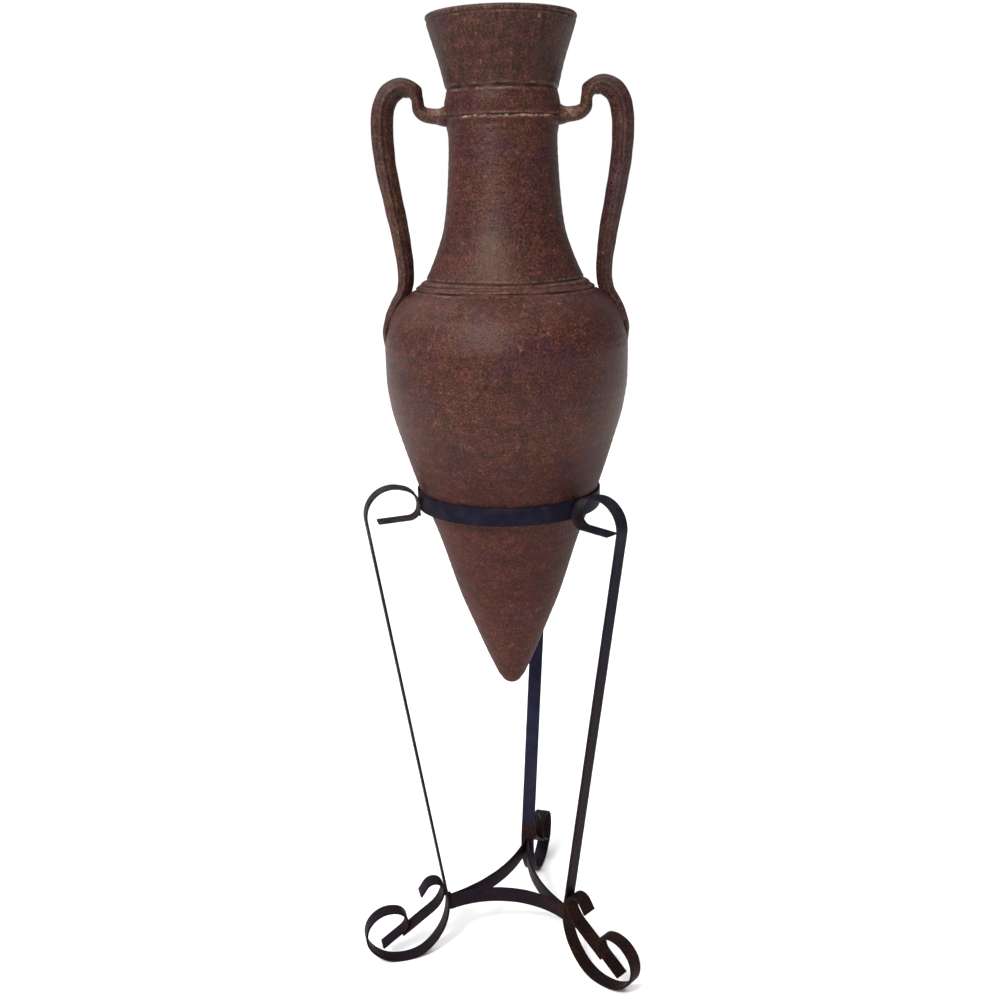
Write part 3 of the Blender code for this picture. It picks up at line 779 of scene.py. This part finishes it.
def build_weld(name, place, centre, length, iron, seed):
    """A lumpy bead laid across a leg's plane in short overlapping puddles."""
    r, z = centre
    rings = []
    for i in range(1, WELD_STEPS):
        share = i / WELD_STEPS
        sideways = (share - 0.5) * length
        dome = sin(pi * share) ** WELD_BLUNTNESS
        puddle = 1 + PUDDLE_PROUD * abs(sin(pi * share * WELD_PUDDLES + seed))
        ring = []
        for side in range(WELD_SIDES):
            turn = 2 * pi * side / WELD_SIDES
            spot = Vector((r + cos(turn), z + sin(turn), sideways)) / WELD_LUMP_SIZE
            lump = noise.noise(spot + Vector((seed, 0.0, 0.0)))
            radius = WELD_RADIUS * dome * puddle * (1 + WELD_LUMPS * lump)
            ring.append(tuple(place.point(r + radius * cos(turn), z + radius * sin(turn), sideways)))
        rings.append(ring)
    caps = np.array([tuple(place.point(r, z, -length / 2)), tuple(place.point(r, z, length / 2))])
    attributes = {"joint": np.ones((len(rings), WELD_SIDES))}
    weld = add_piece(f"{name}_bead", rings, caps, iron, attributes)
    place_piece(weld, "stand", "weld_iron", name)


def build_ring(iron, places, marks):
    """The hoop that the urn rests in."""
    middle_radius = RING_RADIUS - BAR_THICKNESS / 2
    up = Vector((0.0, 0.0, 1.0))
    outline = bar_section(RING_WIDTH, BAR_THICKNESS)
    rings = []
    for i in range(RING_STEPS):
        turn = 2 * pi * i / RING_STEPS
        normal = Vector((cos(turn), sin(turn), 0.0))
        middle = normal * middle_radius + up * (RING_BOTTOM + RING_WIDTH / 2)
        rings.append([middle + normal * t + up * w for t, w in outline])
    rings = hammered(rings, seed=5, amount=RING_HAMMERED)
    r, z, _ = marks["ring_touch"]
    attributes = {"joint": near_joint(rings, [tuple(place.point(r, z)) for place in places.values()])}
    ring = add_piece("hoop", rings, None, iron, attributes, looped=True)
    place_piece(ring, "stand", "black_iron", "support_ring")


def build_stand(iron, weld_iron):
    """The ring, the three legs with their braces and welds, and the ties between them."""
    leg, marks = leg_profile()
    brace = brace_profile(marks)
    welds = weld_places(leg, brace, marks)
    places = {name: LegPlace(*directions) for name, directions in LEGS.items()}
    build_ring(iron, places, marks)
    for number, (name, place) in enumerate(places.items()):
        joints = [tuple(place.point(r, z)) for r, z in welds.values()]
        build_upright_bar(f"leg_{name}", leg, LEG_WIDTH, place, iron, joints, name, 60 + 4 * number)
        build_upright_bar(f"brace_{name}", brace, BAR_WIDTH, place, iron, joints, name, 80 + 4 * number)
        for seed, (weld, (r, z)) in enumerate(welds.items()):
            length = TIE_WELD_LENGTH if weld == "tie_weld" else WELD_LENGTH
            build_weld(f"{weld}_{name}", place, (r, z), length, weld_iron, 7 * number + seed)
    for number, (name, ends) in enumerate(TIES.items()):
        build_tie(f"tie_{name}", [places[end] for end in ends], marks["waist"], iron, 100 + 4 * number)


# ---- Materials ----

# Heights in metres between which the clay's colour changes.
RING_TOP = (RING_BOTTOM + RING_WIDTH) * MM
REDDER_FROM = RING_TOP + 0.110
DARKER_FROM, DARKER_TO = RING_TOP + 0.085, RING_TOP - 0.02
STREAKS_FROM = (URN_TIP_HEIGHT + CUP_BOTTOM) * MM
STREAKS_FULL = STREAKS_FROM + 0.006


class Nodes:
    """Short names for the shader nodes that the finishes are made of."""

    def __init__(self, name):
        self.material = bpy.data.materials.new(name)
        self.material.use_nodes = True
        self.tree = self.material.node_tree
        self.shader = self.tree.nodes["Principled BSDF"]
        self.where = self.add("ShaderNodeTexCoord", {}).outputs["Object"]

    def add(self, kind, inputs, **settings):
        """A new node with the settings given, and with a value or a link in each of the inputs."""
        node = self.tree.nodes.new(kind)
        for key, value in settings.items():
            setattr(node, key, value)
        for key, value in inputs.items():
            self.put(node.inputs[key], value)
        return node

    def put(self, socket, value):
        """Links value to the socket, or sets it where it is a plain number, vector or colour."""
        if isinstance(value, bpy.types.NodeSocket):
            self.tree.links.new(value, socket)
        elif socket.type == "RGBA" and len(value) == 3:
            socket.default_value = (*value, 1.0)
        else:
            socket.default_value = value

    def stretched(self, scale):
        return self.add("ShaderNodeMapping", {"Vector": self.where, "Scale": scale}).outputs["Vector"]

    def noise(self, scale, detail=2.0, roughness=0.5, distortion=0.0, where=None):
        grain = {"Scale": scale, "Detail": detail, "Roughness": roughness, "Distortion": distortion}
        return self.add("ShaderNodeTexNoise", {"Vector": where or self.where, **grain}).outputs["Fac"]

    def remap(self, value, low, high, to_low=0.0, to_high=1.0):
        """A smooth change from to_low to to_high while value goes from low to high."""
        spans = {"From Min": low, "From Max": high, "To Min": to_low, "To Max": to_high}
        node = self.add("ShaderNodeMapRange", {"Value": value, **spans}, interpolation_type="SMOOTHSTEP")
        return node.outputs["Result"]

    def math(self, operation, a, b):
        return self.add("ShaderNodeMath", {0: a, 1: b}, operation=operation).outputs["Value"]

    def product(self, a, b):
        return self.math("MULTIPLY", a, b)

    def ramp(self, value, stops):
        node = self.add("ShaderNodeValToRGB", {"Fac": value})
        elements = node.color_ramp.elements
        while len(elements) < len(stops):
            elements.new(0.5)
        for element, (position, colour) in zip(elements, stops):
            element.position = position
            element.color = (*colour, 1.0)
        return node.outputs["Color"]

    def three_shades(self, value, dark, middle, light):
        return self.ramp(value, ((0.30, dark), (0.52, middle), (0.72, light)))

    def mix(self, share, a, b, blend="MIX"):
        node = self.add("ShaderNodeMix", {"Factor": share, 6: a, 7: b}, data_type="RGBA", blend_type=blend)
        return node.outputs[2]

    def tinted(self, colour, tint):
        return self.mix(1.0, colour, tint, "MULTIPLY")

    def attribute(self, name):
        return self.add("ShaderNodeAttribute", {}, attribute_name=name).outputs["Fac"]

    def bump(self, height, distance, strength, below=None):
        inputs = {"Height": height, "Distance": distance, "Strength": strength}
        if below:
            inputs["Normal"] = below
        return self.add("ShaderNodeBump", inputs).outputs["Normal"]

    def finish(self, colour, roughness, normal, **constants):
        self.put(self.shader.inputs["Base Color"], colour)
        self.put(self.shader.inputs["Roughness"], roughness)
        self.put(self.shader.inputs["Normal"], normal)
        for key, value in constants.items():
            self.put(self.shader.inputs[key.replace("_", " ")], value)
        return self.material


def clay_slip(n, mottle, patches):
    """Mottled brown in reddish, olive and plum patches, with orange and yellow flecks."""
    flecks = n.noise(560.0, 2.0, 0.6, where=n.stretched((1.0, 1.0, 0.8)))
    tints = n.noise(24.0, 3.0, 0.6, 0.3)
    red_brown = n.ramp(mottle, (
        (0.28, (0.009, 0.003, 0.003)), (0.42, (0.027, 0.0075, 0.0068)), (0.53, (0.050, 0.0135, 0.012)),
        (0.64, (0.078, 0.027, 0.021)), (0.78, (0.122, 0.060, 0.044)),
    ))
    olive_brown = n.ramp(mottle, (
        (0.28, (0.009, 0.004, 0.003)), (0.42, (0.026, 0.0095, 0.0065)), (0.53, (0.046, 0.0165, 0.0115)),
        (0.65, (0.074, 0.035, 0.022)), (0.78, (0.114, 0.068, 0.043)),
    ))
    plum_brown = n.ramp(mottle, (
        (0.28, (0.009, 0.003, 0.004)), (0.42, (0.025, 0.0080, 0.0100)), (0.53, (0.045, 0.0138, 0.0165)),
        (0.65, (0.072, 0.026, 0.028)), (0.78, (0.112, 0.050, 0.048)),
    ))
    colour = n.mix(n.remap(patches, 0.46, 0.62), red_brown, olive_brown)
    colour = n.mix(n.remap(tints, 0.48, 0.66), colour, plum_brown)
    colour = n.mix(n.remap(flecks, 0.60, 0.72, 0.0, 0.5), colour, (0.112, 0.056, 0.029))
    yellow = n.product(n.remap(flecks, 0.37, 0.30), n.remap(patches, 0.45, 0.6))
    return n.mix(n.product(yellow, 0.3), colour, (0.110, 0.066, 0.034))


def clay_clouds(n, colour, bands):
    """Fine scratches, the greyer handles, and larger lights and darks over the whole pot."""
    hairs = n.math("ABSOLUTE", n.math("SUBTRACT", n.noise(52.0, 2.0, 0.6, 1.6), 0.5), 0.0)
    scratch = n.product(n.remap(hairs, 0.010, 0.003), n.remap(n.noise(95.0, 2.0, 0.5), 0.53, 0.60))
    colour = n.mix(n.product(scratch, 0.42), colour, (0.195, 0.100, 0.066))
    colour = n.mix(n.attribute("dust_and_sheen"), colour, n.tinted(colour, (1.04, 1.34, 1.34)))
    blots = n.ramp(n.noise(110.0, 3.0, 0.65, 0.4), ((0.32, (0.69, 0.65, 0.75)), (0.68, (1.25, 1.33, 1.21))))
    clouds = n.ramp(n.noise(9.0, 3.0, 0.55), ((0.36, (0.80, 0.72, 0.82)), (0.64, (1.06, 1.03, 0.97))))
    rows = n.ramp(bands, ((0.35, (0.88, 0.88, 0.88)), (0.68, (1.12, 1.12, 1.12))))
    return n.tinted(n.tinted(n.tinted(colour, blots), clouds), rows)


def clay_by_height(n, colour, streaks, on_cup, z):
    """Upright streaks on the cup, a redder cone from just above the ring down, and a darker band round
    the ring's top that fades out above it.
    """
    streaked = n.ramp(streaks, (
        (0.34, (0.50, 0.54, 0.58)), (0.5, (0.82, 0.90, 0.90)), (0.68, (1.24, 1.32, 1.20)),
    ))
    colour = n.mix(on_cup, colour, n.tinted(colour, streaked))
    redder = n.tinted(colour, (1.03, 0.80, 0.83))
    colour = n.mix(n.remap(z, REDDER_FROM, RING_TOP), colour, redder)
    darker_band = n.product(n.remap(z, DARKER_FROM, RING_TOP), n.remap(z, DARKER_TO, RING_TOP))
    return n.mix(darker_band, colour, n.tinted(colour, (0.78, 0.80, 0.82)))


def clay_marks(n, colour, mottle, pits):
    """Painted shade in the incised lines and on the handles, painted highlight along the lines' edges,
    chips, the flake, rubbed edges, the paler lip, and pits.
    """
    # Painted highlight along the incised lines' edges, then painted shade in the lines and in the handles'
    # flutes, crease and inner half.
    edge = n.product(n.attribute("edge"), n.remap(n.noise(140.0, 3.0, 0.6), 0.38, 0.62))
    colour = n.mix(n.product(edge, 0.5), colour, (0.185, 0.105, 0.075))
    colour = n.mix(n.remap(n.attribute("painted_shade"), 0.08, 0.75, 0.0, 0.9), colour, (0.008, 0.005, 0.006))
    chipped = n.product(n.attribute("chip"), n.remap(n.noise(110.0, 4.0, 0.8), 0.41, 0.60))
    colour = n.mix(n.remap(chipped, 0.15, 0.8, 0.0, 0.85), colour, (0.27, 0.155, 0.098))
    colour = n.mix(n.remap(n.attribute("flake"), 0.4, 0.6, 0.0, 0.75), colour, (0.19, 0.060, 0.036))
    rubbed = n.product(n.attribute("worn"), n.remap(n.noise(120.0, 3.0, 0.7), 0.42, 0.6))
    colour = n.mix(n.product(rubbed, 0.75), colour, (0.20, 0.110, 0.08))
    lip = n.product(n.attribute("rim"), n.remap(mottle, 0.42, 0.6))
    colour = n.mix(n.product(lip, 0.22), colour, (0.150, 0.095, 0.075))
    return n.mix(n.remap(pits, 0.26, 0.06, 0.0, 0.5), colour, (0.012, 0.007, 0.007))


def clay_material():
    """Brown fired clay: mottled slip, orange and yellow flecks, dark pits, worn edges."""
    n = Nodes("fired_clay_detail")
    mottle = n.noise(470.0, 3.0, 0.7, 0.35)
    patches = n.noise(62.0, 3.0, 0.6, 0.5)
    bands = n.noise(1.0, 3.0, 0.6, where=n.stretched((9.0, 9.0, 150.0)))
    streaks = n.noise(1.0, 3.0, 0.65, where=n.stretched((210.0, 210.0, 16.0)))
    pits = n.add("ShaderNodeTexVoronoi", {"Vector": n.where, "Scale": 300.0}).outputs["Distance"]
    z = n.add("ShaderNodeSeparateXYZ", {"Vector": n.where}).outputs["Z"]
    on_cup = n.remap(z, STREAKS_FROM, STREAKS_FULL)

    colour = clay_slip(n, mottle, patches)
    colour = clay_clouds(n, colour, bands)
    colour = clay_by_height(n, colour, streaks, on_cup, z)
    colour = clay_marks(n, colour, mottle, pits)

    duller = n.remap(z, REDDER_FROM, RING_TOP, 0.0, 0.22)
    roughness = n.math("ADD", n.remap(mottle, 0.3, 0.7, 0.34, 0.53), duller)
    grain = n.bump(mottle, 0.0008, 0.6)
    grain = n.bump(pits, 0.0005, 0.35, grain)
    grain = n.bump(n.product(streaks, on_cup), 0.0007, 0.5, grain)
    grain = n.bump(bands, 0.0006, 0.35, grain)
    return n.finish(colour, roughness, grain, Specular_IOR_Level=0.17, Specular_Tint=(1.0, 0.94, 0.78))


def iron_material(name, rust_amount):
    """Bluish black paint over hammered bar, warmed by rust towards the feet and joints, with painted
    bluish sheen above the ties and painted grey sheen on the loops.
    """
    n = Nodes(name)
    fine = n.noise(420.0, 3.0, 0.6)
    blotches = n.noise(60.0, 4.0, 0.65, 0.3)
    slow = n.noise(7.0, 2.0, 0.5)
    dark = n.three_shades(blotches, (0.0034, 0.003, 0.0064), (0.006, 0.0052, 0.0112), (0.012, 0.0105, 0.018))
    # These two shades are painted sheen: bluish for the legs above the ties, grey for the loops.
    blue_sheen = n.three_shades(blotches, (0.007, 0.0074, 0.017), (0.0125, 0.0136, 0.031), (0.020, 0.022, 0.044))
    grey_sheen = n.three_shades(fine, (0.010, 0.008, 0.006), (0.026, 0.022, 0.018), (0.055, 0.047, 0.038))
    warm = n.three_shades(fine, (0.0040, 0.0019, 0.0022), (0.0076, 0.0036, 0.0040), (0.018, 0.0085, 0.008))
    rust = n.three_shades(fine, (0.008, 0.0035, 0.003), (0.019, 0.008, 0.006), (0.046, 0.020, 0.011))
    # Painted bluish sheen, then painted grey sheen, over the paint.
    paint = n.mix(n.attribute("blue_sheen"), dark, blue_sheen)
    paint = n.mix(n.product(n.attribute("dust_and_sheen"), n.remap(blotches, 0.3, 0.62)), paint, grey_sheen)
    uneven = n.remap(n.math("ADD", blotches, slow), 0.70, 1.05, 0.35, 1.0)
    warmed = n.product(n.attribute("warm"), uneven)
    paint = n.mix(warmed, paint, warm)
    joint = n.remap(n.attribute("joint"), 0.1, 1.0, 0.0, 0.22)
    spread = n.math("ADD", n.math("ADD", blotches, joint), n.product(slow, 0.9))
    rusted = n.remap(spread, 1.02 - rust_amount, 1.22 - rust_amount)
    colour = n.mix(n.product(rusted, 0.7), paint, rust)
    n.put(n.shader.inputs["Specular Tint"], n.mix(warmed, (0.60, 0.62, 1.0), (0.80, 0.52, 0.52)))
    roughness = n.remap(rusted, 0.0, 1.0, 0.60, 0.85)
    grain = n.bump(blotches, 0.0005, 0.35)
    grain = n.bump(fine, 0.00025, 0.35, grain)
    return n.finish(colour, roughness, grain, Specular_IOR_Level=0.08)


def floor_material():
    """A plain, nearly white floor."""
    n = Nodes("pale_floor")
    tint = n.ramp(n.noise(3.0, 3.0, 0.5), ((0.3, (0.96, 0.96, 0.96)), (0.7, (0.98, 0.98, 0.98))))
    roughness = n.remap(n.noise(40.0), 0.3, 0.7, 0.75, 0.85)
    return n.finish(tint, roughness, n.bump(n.noise(400.0), 0.0002, 0.1))


# ---- Studio ----

CAMERA_OFFSET = (-0.0098, -1.190)
CAMERA_HEIGHT = 0.8577
CAMERA_PITCH = 15.02
CAMERA_ROLL = -1.1
LENS = 40.6
SENSOR = 36.0
CLIP_NEAR, CLIP_FAR = 0.01, 100.0

FLOOR_HALF = 40.0
FLOOR_SQUARES = 12
ROOM_COLOUR, ROOM_STRENGTH = (1.0, 0.99, 0.98, 1.0), 0.29
WHITE = (1.0, 1.0, 1.0, 1.0)
KEY_PLACE, KEY_TARGET = Vector((-0.9, -1.9, 2.2)), Vector((0.0, 0.0, 0.75))
KEY_SIZE, KEY_POWER, KEY_COLOUR = 0.45, 77.0, (1.0, 0.96, 0.92)
OVERHEAD_POWER, OVERHEAD_SPREAD, OVERHEAD_TILT = 3.0, radians(110.0), radians(-16.0)


def build_camera():
    """A camera in front, a little above the middle and looking down, rolled by about a degree."""
    data = bpy.data.cameras.new("camera")
    data.lens = LENS
    data.sensor_width = SENSOR
    data.clip_start, data.clip_end = CLIP_NEAR, CLIP_FAR
    camera = new_object("camera", data)
    pitched = Matrix.Rotation(radians(90.0 - CAMERA_PITCH), 4, "X")
    rolled = Matrix.Rotation(radians(CAMERA_ROLL), 4, "Z")
    place = Matrix.Translation(AXIS + Vector((*CAMERA_OFFSET, CAMERA_HEIGHT)))
    camera.matrix_world = place @ pitched @ rolled
    bpy.context.scene.camera = camera


def build_floor():
    """A wide pale floor, which is not part of the object."""
    mesh = bpy.data.meshes.new("floor")
    work = bmesh.new()
    bmesh.ops.create_grid(work, x_segments=FLOOR_SQUARES, y_segments=FLOOR_SQUARES, size=FLOOR_HALF)
    work.to_mesh(mesh)
    work.free()
    mesh.materials.append(floor_material())
    new_object("floor", mesh)


def build_room():
    """A room that is white where the camera sees it, and gives an even, weaker light."""
    world = bpy.data.worlds.new("room")
    bpy.context.scene.world = world
    world.use_nodes = True
    tree = world.node_tree
    tree.nodes.clear()
    both = tree.nodes.new("ShaderNodeMixShader")
    for socket, colour, strength in ((1, ROOM_COLOUR, ROOM_STRENGTH), (2, WHITE, 1.0)):
        shade = tree.nodes.new("ShaderNodeBackground")
        shade.inputs["Color"].default_value = colour
        shade.inputs["Strength"].default_value = strength
        tree.links.new(shade.outputs["Background"], both.inputs[socket])
    rays = tree.nodes.new("ShaderNodeLightPath")
    out = tree.nodes.new("ShaderNodeOutputWorld")
    tree.links.new(rays.outputs["Is Camera Ray"], both.inputs["Fac"])
    tree.links.new(both.outputs["Shader"], out.inputs["Surface"])


def build_lights():
    """A small soft box high in front on the left, and a wide light overhead."""
    key = bpy.data.lights.new("key_light", "AREA")
    key.shape = "RECTANGLE"
    key.size, key.size_y = KEY_SIZE, KEY_SIZE
    key.energy = KEY_POWER
    key.color = KEY_COLOUR
    softbox = new_object("key_light", key)
    softbox.location = KEY_PLACE
    softbox.rotation_euler = (KEY_TARGET - KEY_PLACE).to_track_quat("-Z", "Y").to_euler()
    softbox.visible_camera = False
    sky = bpy.data.lights.new("overhead_light", "SUN")
    sky.energy = OVERHEAD_POWER
    sky.angle = OVERHEAD_SPREAD
    new_object("overhead_light", sky).rotation_euler = (0.0, OVERHEAD_TILT, 0.0)


def build_studio():
    """A white room with a pale floor and two lights, shown without any film look."""
    view = bpy.context.scene.view_settings
    view.view_transform = "Standard"
    view.look = "None"
    build_floor()
    build_room()
    build_lights()


def main():
    clay = clay_material()
    line = handle_line()
    build_urn(clay, line)
    build_handle("handle_right", 1, clay, line)
    build_handle("handle_left", -1, clay, line)
    build_stand(iron_material("black_iron_detail", 0.0), iron_material("weld_iron_detail", 0.16))
    build_studio()
    build_camera()


main()
